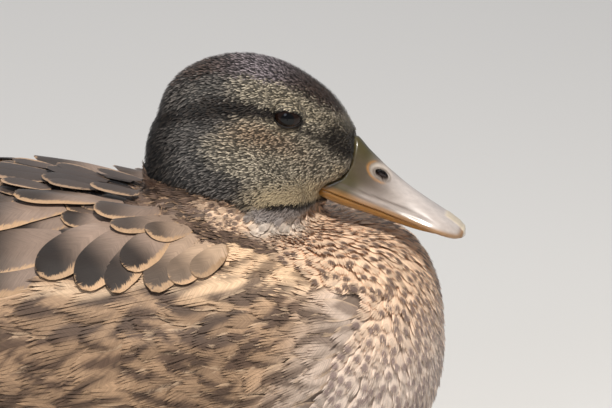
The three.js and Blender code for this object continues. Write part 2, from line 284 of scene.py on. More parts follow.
def past_shoulder(points):
    """How far a point lies in front of the line where the shoulder feathers end, in mm."""
    x, y, z = points.T
    ahead = x - np.interp(z, [40, 66, 78, 89, 92, 97, 100.7, 107],
                          [150, 162, 169, 166, 160, 153, 150, 150])
    inward = np.interp(x, [97, 103, 116, 127, 139, 150, 160, 175],
                       [-40, 22, 29, 32, 40, 45, 50, 60]) - np.abs(y)
    return np.maximum(ahead, inward - 90 * fall(74, 88, z))


def flank_top(x):
    """Height of the line where the flank feathers end over the folded wing."""
    return np.interp(x, [-150, -110, -60, 0, 60, 100, 125, 150],
                     [58, 66, 78, 89, 90.5, 92.5, 95, 97])


def regions(points):
    """How much of each part of the plumage there is at each point, adding up to 1."""
    x, y, z = points.T
    side = np.abs(y)
    head = head_share(points)
    body = 1 - head
    breast = body * smooth(-3, 3, past_shoulder(points))
    belly = body * (1 - breast) * fall(12, 26, z)
    upper = flank_top(x) + 22 * smooth(102, 110, x)
    flank = body * (1 - breast) * fall(-2, 2, z - upper)
    flank = np.maximum(flank - belly, 0)
    back = np.maximum(body - breast - belly - flank, 0)
    by_neck = smooth(-18, -13, z - neck_line(x)) * smooth(79, 85, x)
    by_neck = by_neck * fall(36, 42, side)
    ruff = (back + flank) * by_neck
    flank, back = flank * (1 - by_neck), back * (1 - by_neck)
    mantle = back * fall(16, 26, side)
    return {"head": head, "breast": breast, "belly": belly, "flank": flank, "ruff": ruff,
            "mantle": mantle, "wing": back - mantle}


# ---- the skin ----

def coat_depth(points):
    """How far the skin lies under the outline of the solids."""
    x, _, z = points.T
    deep_head = 1.8 - 0.8 * smooth(105, 150, x)
    deep_body = 4.2 - 1.4 * smooth(150, 190, x)
    underside = fall(2, 16, z)
    head = head_share(points)
    return (head * deep_head + (1 - head) * deep_body) * (1 - 0.55 * underside)


def round_lump(centre, half_size):
    """Points and triangles of an ellipsoid."""
    rows, columns = 16, 32
    polar, angle = tube(np.linspace(0.02, math.pi - 0.02, rows), columns)
    ball = stacked(np.cos(polar), np.sin(polar) * np.cos(angle), np.sin(polar) * np.sin(angle))
    quads = np.array(tube_faces(rows, columns))
    last = (rows - 1) * columns
    caps = [[0, k, k + 1] for k in range(1, columns - 1)]
    caps += [[last, last + k + 1, last + k] for k in range(1, columns - 1)]
    return centre + ball * half_size, np.concatenate([quads[:, :3], quads[:, [0, 2, 3]], caps])


def make_skin():
    solids = [node for node in FLESH if node != "tail"]
    made = remeshed("skin", solids, voxel=1.9, swell=0.25, rounds=4,
                    lump=round_lump(TAIL_ROOT, TAIL_ROOT_SIZE))
    vertices = made.data.vertices
    points = read(vertices, "co") / MM
    inward = points - read(vertices, "normal") * coat_depth(points)[:, None]
    vertices.foreach_set("co", (inward * MM).ravel())
    made.data.update()
    return made


# ---- markings ----

CROWN = linear(76, 62, 55)
CROWN_PAINTED_SHEEN = linear(150, 140, 144)
BROW = linear(158, 146, 124)
EYE_STRIPE = linear(40, 33, 28)
CHEEK = linear(164, 153, 134)
CHEEK_WARM = linear(148, 125, 101)
NECK_SIDE = linear(86, 81, 77)
NAPE_DARK_AND_SHADE = linear(36, 31, 27)
THROAT = linear(180, 162, 130)
NECK_PALE = linear(158, 148, 142)
COLLAR = linear(214, 198, 182)
BREAST = linear(238, 204, 172)
BREAST_LOW = linear(228, 208, 192)
BREAST_DARK = linear(82, 64, 60)
BREAST_GREY = linear(140, 120, 116)
MANTLE = linear(66, 53, 46)
MANTLE_FRINGE = linear(168, 138, 110)
SCAPULAR = linear(156, 133, 117)
SCAPULAR_DARK = linear(36, 27, 22)
FLANK = linear(177, 144, 113)
FLANK_PALE = linear(224, 192, 158)
FLANK_DARK = linear(84, 65, 53)
BELLY = linear(206, 182, 152)
RUMP = linear(88, 71, 60)
RUFF = linear(104, 84, 71)
FRINGE = linear(192, 156, 120)
SHOULDER = linear(234, 198, 160)

FLANK_ROW = 11.5            # depth of one row of the flank's marks
FLANK_PERIOD = 25           # distance between marks along a row


def eye_line(x):
    """Height of the dark stripe through the eye: it drops toward the bill and the nape."""
    return np.interp(x, [80, 88, 93, 100, 110, 119, 127, EYE[0], 166],
                     [133, 136.5, 139, 142.2, 143.7, 143.7, 142.5, EYE[2], EYE[2] - 18.5])


def eye_reach(points):
    """0 at the middle of the eye, 1 on the edge of its opening, and more outside."""
    dx, dz = points[:, 0] - EYE[0], points[:, 2] - EYE[2]
    across, upward = turned(dx, dz, LID_TILT)
    reach = np.hypot(across / LID_WIDTH, upward / LID_HEIGHT)
    return np.where(np.abs(points[:, 1]) > 8, reach, 9)


def collar(points):
    """1 on the whitish patch between the neck and the breast."""
    x, _, z = points.T
    return smooth(122, 128, x) * fall(138, 145, x) * smooth(97, 101, z)


def throat(points):
    """1 on the plain patch under the cheek, over the line of the chin."""
    x, _, z = points.T
    return fall(113, 120.5, z) * smooth(115, 132, x)


def flank_marks(points):
    """Share of brown in the wavy marks of the flank, in rows under its top line."""
    x, y, z = points.T
    bend = 2.6 * np.sin(0.11 * z + 0.07 * x + 1) + 2 * np.sin(0.23 * x - 0.13 * z + 2.1)
    sag = 2.2 * np.sin(0.09 * x + 0.5) + 1.3 * np.sin(0.21 * x + 0.15 * z + y * 0.05)
    depth = (flank_top(x) - z + sag) / FLANK_ROW
    row = np.floor(depth)
    aside = np.abs(2 * (depth - row) - 1)
    turn = ((bend - x) / FLANK_PERIOD + 0.7 * aside + 0.37 * row + 0.2 * depth) % 1
    mark = smooth(0.02, 0.2, turn) * fall(0.5, 0.72, turn)
    mark = mark * (1 - 0.75 * smooth(0.6, 1, aside))
    cloud = 0.5 + 0.5 * np.sin(0.06 * x + 0.11 * z) * np.sin(0.05 * x - 0.07 * z + 1.2)
    return np.clip(mark + 0.4 * cloud * smooth(0.2, 1.2, depth), 0, 1)


def flank_colour(points):
    """Buff with the wavy marks, running out into the colour of the breast."""
    x, _, z = points.T
    to_breast = smooth(-34, -4, past_shoulder(points))
    under_top = flank_top(x) - z + 1.6 * np.sin(0.16 * x)
    return painted(
        FLANK,
        (BREAST_LOW, 0.8 * to_breast),
        (SHOULDER, smooth(96, 112, x) * smooth(80, 92, z)),
        (FLANK_DARK, flank_marks(points) * (0.94 - 0.25 * to_breast)),
        (FLANK_PALE, 0.8 * bump(2.5, 2.2, under_top) * fall(96, 110, x)))


def head_colour(points):
    x, y, z = points.T
    above = z - eye_line(x)
    cheek_rear = np.interp(z, [106, 118, 123, 129.5, 134, 139], [131, 126, 114, 107, 110, 118])
    brow = bump(6.6, 4.4, above) * smooth(88, 100, x)
    broad = 3.4 + 1.4 * bump(108, 22, x)
    stripe = bump(0, 1, above / broad) * smooth(78, 92, x)
    stripe = stripe * (1 - 0.6 * smooth(EYE[0], EYE[0] + 7, x))
    # painted sheen: the top of the crown lightened with the sky's reflection
    sheen = bump(127, 22, x) * smooth(146, 158, z)
    lore = smooth(147, 153, x) * bump(130.5 - 0.5 * (x - 155), 9.5, z)
    chin = z - 109.8 + 0.2 * np.maximum(x - 136, 0)
    chin_line = bump(-0.2, 1.7, chin) * smooth(126, 132, x)
    return painted(
        CHEEK,
        (CHEEK_WARM, bump(EYE[0] - 9, 24, x) * bump(-8.5, 8.5, above)),
        (NECK_SIDE, fall(-7, 6, x - cheek_rear)),
        (THROAT, throat(points)),
        (BROW, brow * (0.08 + 0.92 * smooth(118, 138, x))),
        (EYE_STRIPE, np.minimum(2 * stripe, 1)),
        (mix(CROWN, CROWN_PAINTED_SHEEN, 0.8 * sheen), smooth(9.4, 11.8, above)),
        (EYE_STRIPE, np.minimum(1.2 * lore, 0.9)),
        (THROAT, 0.9 * bump(154.5, 4, x) * bump(119.5, 4, z)),
        # the hind neck's own dark brown, deepened by painted shade over the rear of the head
        (NAPE_DARK_AND_SHADE, fall(86, 98, x + 0.15 * (z - 118) - 0.25 * np.abs(y))),
        (NECK_PALE, fall(-1.2, 0.2, chin) * smooth(120, 126, x)),
        (EYE_STRIPE, np.minimum(1.5 * chin_line, 1)),
        (BROW * 1.25, bump(1.55, 0.42, eye_reach(points)) * smooth(1.2, 2.4, np.abs(above))))


def plumage(points):
    """The colour at each point, on the skin and on the feathers that grow there."""
    x, _, z = points.T
    colours = {
        "head": head_colour(points),
        "breast": painted(BREAST, (BREAST_LOW, fall(50, 88, z)),
                          (COLLAR, collar(points))),
        "belly": mix(BELLY, FLANK, smooth(4, 26, z)),
        "flank": flank_colour(points),
        "mantle": mix(MANTLE, RUMP, fall(-110, -80, x)),
        "ruff": RUFF,
        "wing": SCAPULAR}
    share = regions(points)
    return sum(colour * share[name][:, None] for name, colour in colours.items())


# ---- the lie of the plumage ----

NECK_ROOT = np.array([122, 0, 122])


def lie(points, normals):
    """Unit directions along the surface in which the feathers point."""
    x, y, z = points.T
    sign, side = np.sign(y), np.abs(y)
    # head: back from the bill, parting round the eye, and down over the nape and the neck
    down = 0.2 + 1.3 * fall(84, 112, x) + 0.3 * fall(108, 125, z)
    around = bump(EYE[0], 14, x) * bump(EYE[2], 12, z) * np.sign(z - EYE[2]) * 0.35
    around = around * (2 * smooth(EYE[0], EYE[0] + 10, x) - 1)
    on_head = stacked(-1, 0, around - down)
    # breast: out from the root of the neck, and down
    to_side = fall(0, 26, past_shoulder(points))
    aside = stacked(-0.35 - 1.5 * to_side, 0.1 * sign, -0.95 + 0.3 * to_side)
    on_breast = unit(points - NECK_ROOT) + aside
    # flank, belly and back: toward the tail, the shoulder feathers hanging over the wing
    on_flank = stacked(-1, 0, -0.2 - 0.15 * fall(20, 60, x))
    fan = smooth(22, 46, side) * smooth(-30, 50, x) * (1 - 0.75 * smooth(108, 128, x))
    to_tail = 0.12 * fall(-60, -20, x)
    on_back = stacked(0.45 * fan - 1, sign * (1.1 * fan - to_tail), -0.45 * fan - 0.06)
    share = regions(points)
    ways = {"head": on_head, "breast": on_breast, "flank": on_flank, "belly": on_flank,
            "mantle": on_back, "ruff": on_back, "wing": on_back}
    return in_plane(sum(way * share[part][:, None] for part, way in ways.items()), normals)


def unwrap(points):
    """A flat place for each skin point: round the head or the body, by angle and by length."""
    x, y, z = points.T
    on_head = head_share(points) > 0.5
    angle = np.arctan2(y, z - np.where(on_head, 125, 58)) / (2 * math.pi) + 0.5
    run = np.where(on_head, (x - 80) / 84, (x + 205) / 405)
    return 0.02 + 0.96 * stacked(run, angle)


# ---- materials ----

class Nodes:
    """A short way to write a material's node tree."""

    def __init__(self, name, roughness, specular, coat=0, sheen=0):
        self.material = bpy.data.materials.new(name)
        self.material.use_nodes = True
        self.tree = self.material.node_tree
        self.shader = self.tree.nodes["Principled BSDF"]
        for socket, value in (("Roughness", roughness), ("Specular IOR Level", specular),
                              ("Coat Weight", coat), ("Coat Roughness", 0.08),
                              ("Sheen Weight", sheen), ("Sheen Roughness", 0.4)):
            self.shader.inputs[socket].default_value = value

    def add(self, kind, settings=(), **inputs):
        """A new node, with its inputs by name or numbered i0, i1 and so on."""
        node = self.tree.nodes.new("ShaderNode" + kind)
        for key, value in dict(settings).items():
            setattr(node, key, value)
        for key, value in inputs.items():
            number = key[1:]
            self.set(node.inputs[int(number) if number.isdigit() else key.replace("_", " ")], value)
        return node

    def set(self, socket, value):
        if isinstance(value, bpy.types.NodeSocket):
            self.tree.links.new(value, socket)
        elif socket.type == "RGBA":
            socket.default_value = (*value, 1)
        else:
            socket.default_value = value

    def math(self, operation, a, b=0, c=0):
        return self.add("Math", {"operation": operation}, i0=a, i1=b, i2=c).outputs[0]

    def scaled(self, value, by, plus=0):
        return self.math("MULTIPLY_ADD", value, by, plus)

    def step(self, value, low, high):
        """0 where value is under low, 1 where it is over high."""
        return self.add("MapRange", {"interpolation_type": "SMOOTHSTEP"}, Value=value,
                        From_Min=low, From_Max=high).outputs[0]

    def mix(self, share, a, b, blend="MIX"):
        settings = {"data_type": "RGBA", "blend_type": blend}
        return self.add("Mix", settings, Factor=share, i6=a, i7=b).outputs[2]

    def attribute(self, name, output="Color"):
        return self.add("Attribute", {"attribute_name": name}).outputs[output]

    def vector(self, x, y, z):
        return self.add("CombineXYZ", X=x, Y=y, Z=z).outputs[0]

    def noise(self, vector, scale, detail=2, roughness=0.5):
        return self.add("TexNoise", Vector=vector, Scale=scale, Detail=detail,
                        Roughness=roughness).outputs["Fac"]

    def place(self):
        """Position on the object, in metres."""
        return self.add("TexCoord").outputs["Object"]

    def relief(self, height, depth_mm, strength):
        bumps = self.add("Bump", Height=height, Distance=depth_mm * MM, Strength=strength)
        self.set(self.shader.inputs["Normal"], bumps.outputs[0])

    def colour(self, value):
        self.set(self.shader.inputs["Base Color"], value)

    def shaded(self, light, colour=None):
        """The colour, by default the mesh's own Base, multiplied by a grey number."""
        grey = self.add("CombineColor", Red=light, Green=light, Blue=light).outputs[0]
        if colour is None:
            colour = self.attribute("Base")
        self.colour(self.mix(1, colour, grey, "MULTIPLY"))


def grained(name, roughness, specular, scale, detail, amount, least, relief=None):
    """The mesh's own colours, lighter and darker in fine grain."""
    n = Nodes(name, roughness, specular)
    grain = n.noise(n.place(), scale, detail)
    n.shaded(n.scaled(grain, amount, least))
    if relief:
        n.relief(grain, *relief)
    return n.material


def feather_material(name, fringe_mm=None, spot_mm=None, shaft=None, barb=0.3, roughness=0.62,
                     shade=0.25, ragged=1.1):
    """Plumage: a base colour, a spot near the tip, a pale fringe, a dark shaft and barbs.

    The Vane attribute holds, for each point of a feather, its distance from the outline, its
    distance across from the shaft and along from the root (all in mm), and a random number.
    fringe_mm and spot_mm are the distances between which the fringe and the spot run out, and
    ragged draws the barbs' lines across the edge of the fringe, in mm.
    """
    n = Nodes(name, roughness, specular=0.35, sheen=0.12)
    rim, across, along = n.add("SeparateColor", Color=n.attribute("Vane")).outputs
    offset = n.scaled(n.attribute("Vane", "Alpha"), 90)
    sideways = n.math("ABSOLUTE", across)
    barb_line = n.math("SUBTRACT", along, sideways)
    barbs = n.noise(n.vector(n.scaled(barb_line, 1.7), offset, n.scaled(sideways, 0.16)),
                    1, 3, 0.6)
    clouds = n.noise(n.vector(n.scaled(along, 0.35), offset, n.scaled(across, 0.35)), 1)
    streaks, waves = (n.math("SUBTRACT", value, 0.5) for value in (barbs, clouds))
    colour = n.attribute("Base")
    if spot_mm:
        near = n.scaled(waves, 1.8, n.attribute("Spot", "Fac"))
        near = n.scaled(streaks, 0.9, near)
        outside = n.scaled(n.step(near, *spot_mm), 0.85, 0.15)
        colour = n.mix(outside, n.attribute("Mark"), colour)
    if fringe_mm:
        uneven = n.scaled(waves, 3.6, rim)
        uneven = n.scaled(streaks, 2 * ragged, uneven)
        colour = n.mix(n.step(uneven, *fringe_mm), n.attribute("Edge"), colour)
    if shaft is not None:
        thick = n.step(sideways, 0.12, 0.3)
        colour = n.mix(n.scaled(thick, -0.7, 0.7), colour, shaft)
    light = n.scaled(n.scaled(streaks, 2 * barb, 1), n.scaled(waves, shade, 1))
    n.shaded(light, colour)
    n.relief(barbs, 0.12, 0.6)
    return n.material


# ---- feathers ----

def spines(roots, along, length, steps, aims):
    """Follows the skin from each root. Gives points, normals and directions at each step."""
    point, normal = SKIN.snap(roots)
    direction = along
    rows = []
    for k in range(len(steps)):
        if k:
            stride = (steps[k] - steps[k - 1]) * length
            point, normal = SKIN.snap(point + direction * stride[:, None])
        if aims is not None and k < len(steps) - 2:
            direction = unit(aims - point)
        direction = in_plane(direction, normal)
        rows.append((point, normal, direction))
    return [np.stack(values, axis=1) for values in zip(*rows)]


class Coat:
    """Collects feathers and makes one mesh piece of them."""

    def __init__(self, name):
        self.name, self.count, self.faces, self.values = name, 0, [], {}

    def add(self, faces, **values):
        """Values of each point of each feather; faces are of one feather's points."""
        number, each = values["points"].shape[:2]
        first = self.count + np.arange(number) * each
        self.count += number * each
        self.faces += (faces + first[:, None, None]).reshape(-1, 4).tolist()
        for key, value in values.items():
            width = value.shape[-1]
            full = np.broadcast_to(value, (number, each, width)).reshape(-1, width)
            self.values.setdefault(key, []).append(full)

    def piece(self, slot, material, *replaced):
        values = {key: np.concatenate(parts) for key, parts in self.values.items()}
        made = mesh_object(self.name, values["points"], self.faces)
        for key in ("Base", "Mark", "Edge", "Vane"):
            set_color(made, key, values[key])
        spot = made.data.attributes.new("Spot", "FLOAT", "POINT")
        spot.data.foreach_set("value", values["spot"].ravel())
        corners = read(made.data.loops, "vertex_index", 1, np.int32).ravel()
        flat = made.data.uv_layers.new(name="OFBake")
        flat.data.foreach_set("uv", values["flat"][corners].ravel())
        finish_piece(made, slot, material, *replaced)


def feather_steps(rows):
    """Shares of the length at which a feather has its rows, closer together at the tip."""
    return 1 - (1 - np.linspace(0, 1, rows)) ** 1.25


def grow(coat, roots, length, width, rise, colours, aims=None, swing=0.06, rows=7, **look):
    """Roots feathers on the skin at these points and lays them along it, or toward their aims.

    colours(roots, v, u, points) gives the base, mark and edge colours, where v runs from the
    root to the tip and u across, from -1 to 1.
    """
    number = len(roots)
    points, normals = SKIN.snap(roots)
    along = lie(points, normals)
    along = unit(along + np.cross(normals, along) * RANDOM.normal(0, swing, (number, 1)))
    length = length * RANDOM.uniform(0.9, 1.1, number)
    width = width * RANDOM.uniform(0.92, 1.08, number)
    if aims is not None:
        aims = SKIN.snap(aims)[0]
        length = 1.03 * np.linalg.norm(aims - points, axis=1)
    steps = feather_steps(rows)
    spine = spines(points, along, length, steps, aims)
    lay(coat, spine, points, length, width, rise, colours, steps, **look)


def lay(coat, spine, roots, length, width, rise, colours, steps, across=6, base=0.4, widest=0.6,
        camber=0.12, split=0, point=4, conform=False, spot_at=0.75, jitter=0.18,
        lopsided=0):
    """Adds round-ended feathers, given the spines they follow, to a coat.

    base is the root's share of the full width, which the vane has at widest. rise is the height
    of root and tip over the spine, in mm. split over 0 parts the vane into strips that end
    unevenly, the blunter the greater point is, and conform lays the whole vane on the skin, not
    only its spine. lopsided moves the pale edge from the upper to the lower side.
    """
    p, n, d = spine
    number, rows = p.shape[:2]
    columns = np.linspace(-1, 1, across + 1)
    length, half = length[:, None, None], 0.5 * width[:, None, None]
    v, ripple, outline = np.broadcast_to(steps[None, :, None], (number, rows, 1)), 0, 1
    if split:
        centre = np.repeat((columns[1:] + columns[:-1]) / 2, 2)
        columns = np.repeat(columns, 2)[1:-1]
        shorter = RANDOM.uniform(0, split, (number, 1, across)).repeat(2, axis=2)
        v = v * (1 - 0.22 * columns ** 2 - shorter)
        taper = np.sqrt(np.maximum(1 - steps[:, None] ** point, 0.02))
        loose = (0.35 / (2 + across), 0.12)
        stray, ripple = np.moveaxis(
            RANDOM.normal(0, loose, (number, 1, across, 2)).repeat(2, axis=2), 3, 0) * v
    else:
        v = v * np.ones_like(columns)
        past = np.clip((v - widest) / (1 - widest), 0, 1)
        outline = np.sqrt(np.maximum(1 - past ** 2.2, 0))
    grown = base + (1 - base) * np.sin(0.5 * math.pi * np.clip(v / widest, 0, 1))
    if split:
        reach = half * (grown * (centre + (columns - centre) * taper) + stray * v)
    else:
        outline = outline * grown
        reach = columns * half * outline
    position = np.interp(v, steps, np.arange(rows))
    low = np.clip(np.floor(position).astype(int), 0, rows - 2)
    part = (position - low)[..., None]
    which = np.arange(number)[:, None, None]
    on_spine, normal, sideways = (
        a[which, low] * (1 - part) + a[which, low + 1] * part for a in (p, n, np.cross(n, d)))
    placed = on_spine + sideways * reach[..., None]
    if conform:
        placed, normal = (a.reshape(placed.shape) for a in SKIN.snap(placed.reshape(-1, 3)))
    root_mm, tip_mm = (np.broadcast_to(a, number)[:, None, None] for a in rise)
    height = root_mm + (tip_mm - root_mm) * v ** 0.9 + ripple
    height = height + RANDOM.uniform(-jitter, jitter, (number, 1, 1)) * v
    height = height - camber * columns ** 2 * half
    placed = placed + unit(normal) * np.maximum(height, 0.05)[..., None]
    placed[..., 2] = np.maximum(placed[..., 2], ON_FLOOR)

    wide = len(columns)
    corner = (np.arange(rows - 1)[:, None] * wide
              + np.arange(0, wide - 1, 2 if split else 1)).ravel()
    faces = stacked(corner, corner + 1, corner + wide + 1, corner + wide)

    along_mm = v * length
    rim = np.minimum((1 - np.abs(columns)) * half * np.maximum(outline, 0.05), (1 - v) * length)
    lower = -np.sign(roots[:, 1])[:, None, None] * columns
    rim = rim - lopsided * np.clip(lower, 0, 1) * smooth(0.2, 0.7, v)
    rim = rim + 2.4 * lopsided * np.clip(-lower, 0, 1) ** 2 * (1 - v ** 3)
    vane = stacked(rim, reach, along_mm, RANDOM.random((number, 1, 1)))
    spot = np.hypot(reach, 0.75 * (along_mm - spot_at * length))
    local = stacked(0.5 * columns, steps[:, None] - 0.5)
    placed, vane, local, spot = (a.reshape(-1, rows * wide, a.shape[-1])
                                 for a in (placed, vane, local[None], spot[..., None]))
    u = np.broadcast_to(columns, v.shape).reshape(number, -1)
    dye, mark, edge = colours(roots, v.reshape(number, -1), u, placed)
    coat.add(faces, points=placed, Base=dye, Mark=mark, Edge=edge, Vane=vane, spot=spot,
             flat=unwrap(roots)[:, None] + local * PATCH)


# ---- bill ----

def curve(table, at):
    """A smooth curve through the table's rows (place, value)."""
    places, values = np.array(table, dtype=float).T
    slopes = np.gradient(values, places)
    i = np.clip(np.searchsorted(places, at) - 1, 0, len(places) - 2)
    gap = places[i + 1] - places[i]
    t = np.clip((at - places[i]) / gap, 0, 1)
    return ((2 * t ** 3 - 3 * t ** 2 + 1) * values[i] + (t ** 3 - 2 * t ** 2 + t) * gap * slopes[i]
            + (3 * t ** 2 - 2 * t ** 3) * values[i + 1] + (t ** 3 - t ** 2) * gap * slopes[i + 1])


BILL_ALONG = np.array([math.cos(BILL_PITCH), 0, -math.sin(BILL_PITCH)])
BILL_UP = np.array([math.sin(BILL_PITCH), 0, math.cos(BILL_PITCH)])
# half widths and heights of the upper and lower bill, by place along the mouth line
BILL_WIDTH = [(-4, 8.6), (6, 9.6), (12, 9.4), (20, 9.1), (29, 9.2), (38, 10.1), (44, 10.8),
              (48, 10.5), (51.5, 9), (54, 6.4), (55.4, 3.6), (BILL_LENGTH, 0.4)]
BILL_HEIGHT = [(-4, 19), (0, 21.2), (6, 20.7), (12, 17.5), (20, 13.9), (29, 10.4), (38, 7.7),
               (45, 5.8), (50, 4.5), (53.6, 3.2), (55.4, 1.9), (BILL_LENGTH, 0.3)]
LOWER_WIDTH = [(-3, 8.2), (4, 9), (18, 8.5), (32, 8.6), (42, 8), (47, 5.6), (50, 1)]
LOWER_DEPTH = [(-3, 3.4), (4, 4.3), (18, 3.9), (32, 3.2), (42, 2.3), (47, 1.6), (50, 0.4)]
NOSTRIL = (19.3, 11.4)      # along the mouth line and above it
NOSTRIL_SIZE = (3, 1.4)
NOSTRIL_TILT = math.radians(-14)
HOLLOW_SIZE = (5.4, 3)      # the hollow round the nostril, and how far it is set off from it
HOLLOW_SHIFT = (-0.9, 0.5)
FEATHER_EDGE = [(109, 147), (113.2, 147.6), (116.8, 156.2), (121.6, 159.2), (128, 160.4),
                (134, 161)]

BILL_BASE = linear(68, 60, 16)
BILL_GREY = linear(112, 99, 88)
BILL_SILVER = linear(196, 184, 176)
BILL_PAINTED_HIGHLIGHT = linear(206, 196, 190)
BILL_PAINTED_SHADE = linear(88, 74, 62)
BILL_EDGE = linear(154, 106, 40)
BILL_UNDER = linear(150, 120, 70)
BILL_NAIL = linear(222, 206, 178)
NOSTRIL_PAINTED_HIGHLIGHT = linear(214, 200, 186)
NOSTRIL_LINE = linear(176, 124, 64)
NOSTRIL_PAINTED_SHADE = linear(30, 17, 13)


def behind_feathers(points):
    """How far each bill point lies behind the line where the face feathers end."""
    return np.interp(points[:, 2], *np.array(FEATHER_EDGE).T) - points[:, 0]


def on_bill(s, h, y):
    """Points by their place along the mouth line, over it and aside. Behind the feather line
    they are drawn inward, under the skin of the face."""
    points = GAPE + s[:, None] * BILL_ALONG + h[:, None] * BILL_UP + y[:, None] * [0, 1, 0]
    hidden = smooth(-0.4, 1.6, behind_feathers(points))
    centre = points * [1, 0, 1]
    inner = centre + (points - centre) * 0.72 - BILL_UP * 0.6
    return points + (inner - points) * hidden[:, None]


def upper_bill():
    rows, columns = 190, 150
    # rings closer together toward the tip
    place = np.sin(np.linspace(0, 0.5 * math.pi, rows)) ** 0.9
    s, angle = tube(-4 + (BILL_LENGTH + 4) * place, columns)
    wide, high = curve(BILL_WIDTH, s), curve(BILL_HEIGHT, s)
    cos, sin = np.cos(angle), np.sin(angle)
    upper = sin > 0
    # sides stand up from the mouth line and lean in to a rounded ridge
    up = np.abs(sin) ** 0.92
    across = np.sign(cos) * np.abs(cos) ** 0.8
    y = wide * across * (1 - 0.2 * np.where(upper, up, 0) * fall(30, 48, s))
    lip = 1.3 * fall(52, 56, s) + 0.3
    h = np.where(upper, high * up, -lip * up)
    share = np.clip(h / np.maximum(high, 1), 0, 1)
    # groove above the cutting edge, which runs out at the nail, and the flare of the edge
    groove = bump(2.3, 1.3, h) * smooth(3, 10, s) * fall(36, 48, s)
    y = y * (1 - 0.05 * groove)
    flare = bump(0.4, 1.6, h) * smooth(20, 40, s) * fall(52, 56, s)
    y = y * (1 + 0.035 * flare)
    # nail: a raised shield at the tip
    nail = smooth(45.5, 47.5, s) * fall(3.6, 4.4, np.abs(y)) * upper
    h = h + 0.3 * nail
    # nostril: a tilted slit in a shallow hollow
    a, b = turned(s - NOSTRIL[0], h - NOSTRIL[1], NOSTRIL_TILT)
    reach = np.hypot(a / NOSTRIL_SIZE[0], b / NOSTRIL_SIZE[1])
    around = np.hypot((a - HOLLOW_SHIFT[0]) / HOLLOW_SIZE[0],
                      (b - HOLLOW_SHIFT[1]) / HOLLOW_SIZE[1])
    hollow = fall(0.55, 1, around) * upper
    y = y - np.sign(y) * (2.2 * fall(0.62, 1, reach) * upper + 0.55 * hollow)
    made = mesh_object("bill_upper_horn", on_bill(s, h, y), tube_faces(rows, columns, closed=True))

    crease_shades = [bump(height, 0.75, h) * smooth(1, 7, s) * fall(28, 44, s) for height in (1.6, 3.7)]
    below = fall(-2.5, 2, a + 1.6 * b)
    set_color(made, "Base", painted(
        BILL_SILVER,
        (BILL_GREY, fall(16, 34, s) * smooth(0, 0.5, share)),
        (BILL_BASE, 0.92 * fall(8, 17, s - 0.25 * h)),
        # painted highlight lightening the upper sides of the bill toward the tip
        (BILL_PAINTED_HIGHLIGHT, 0.7 * smooth(0.55, 0.95, share) * smooth(10, 30, s)),
        # painted shade on the side of the bill between the nostril and the base
        (BILL_PAINTED_SHADE, 0.6 * bump(0.62, 0.4, share) * bump(12, 10, s)),
        (BILL_EDGE, 0.85 * fall(0.3, 2, h)),
        # painted shade: two dark lines in the creases over the cutting edge
        (BILL_PAINTED_SHADE, 0.7 * crease_shades[0]),
        (BILL_PAINTED_SHADE, 0.7 * crease_shades[1]),
        (BILL_EDGE, 0.8 * smooth(52.3, 54.6, s) * (1 - nail)),
        (BILL_NAIL, 0.85 * nail),
        # painted highlight: the hollow round the nostril lightened, set off toward the base and
        # upward
        (NOSTRIL_PAINTED_HIGHLIGHT, 0.7 * hollow),
        (NOSTRIL_LINE, 0.8 * bump(0.95, 0.16, around) * upper * below),
        # painted shade round and inside the nostril, which is only a shallow dent in the mesh
        (BILL_PAINTED_SHADE, 0.8 * bump(1.15, 0.35, reach) * upper),
        (NOSTRIL_PAINTED_SHADE, fall(0.8, 1.05, reach) * upper)))
    finish_piece(made, "bill", horn_material("bill_horn"), "bill_upper")


def lower_bill():
    rows, columns = 80, 48
    s, angle = tube(-3 + 53 * np.sin(np.linspace(0, 0.5 * math.pi, rows)), columns)
    cos, sin = np.cos(angle), np.sin(angle)
    y = curve(LOWER_WIDTH, s) * np.sign(cos) * np.abs(cos) ** 0.75
    deep = curve(LOWER_DEPTH, s)
    h = -0.6 - np.where(sin > 0, 0.18 * np.abs(sin) ** 0.8, deep * np.abs(sin) ** 0.7)
    made = mesh_object("bill_lower_horn", on_bill(s, h, y), tube_faces(rows, columns, closed=True))
    set_color(made, "Base", mix(BILL_UNDER, BILL_EDGE, smooth(-4.5, -1.5, h)))
    finish_piece(made, "bill", horn_material("mandible_horn"), "bill_lower")


def horn_material(name):
    n = Nodes(name, 0.4, specular=0.6, coat=0.5)
    place = n.place()
    drawn_out = n.add("Mapping", Vector=place, Scale=(220, 700, 500),
                      Rotation=(0, BILL_PITCH, 0)).outputs[0]
    streak = n.noise(drawn_out, 1, detail=3)
    speck = n.noise(place, 2600)
    n.shaded(n.scaled(speck, 0.12, n.scaled(streak, 0.5, 0.69)))
    n.set(n.shader.inputs["Roughness"], n.scaled(streak, 0.16, 0.26))
    n.relief(n.scaled(speck, 0.4, streak), 0.06, 0.5)
    return n.material


# ---- eyes ----

PUPIL = linear(6, 6, 8)
IRIS = linear(30, 17, 11)
EYE_RIM = linear(20, 14, 12)
LID_RIM = linear(26, 22, 20)


def eyeball(name, side):
    rows, columns = 40, 56
    polar, angle = tube(np.linspace(0, 0.62 * math.pi, rows), columns)
    radius = EYE_RADIUS + 0.22 * fall(0.25, 0.95, polar)
    around = radius * np.sin(polar)
    points = stacked(EYE[0] + around * np.cos(angle), side * (EYE[1] + radius * np.cos(polar)),
                     EYE[2] + around * np.sin(angle))
    made = mesh_object("eyeball_" + name, points, tube_faces(rows, columns, side, closed=True))
    ring = np.degrees(polar)
    set_color(made, "Base", painted(PUPIL, (IRIS, smooth(24, 28, ring)),
                                    (EYE_RIM, smooth(50, 58, ring))))
    finish_piece(made, "eye", grained("wet_eye_" + name, 0.05, 0.32, 1800, 2, 0.4, 0.8),
                 "eye_" + name)


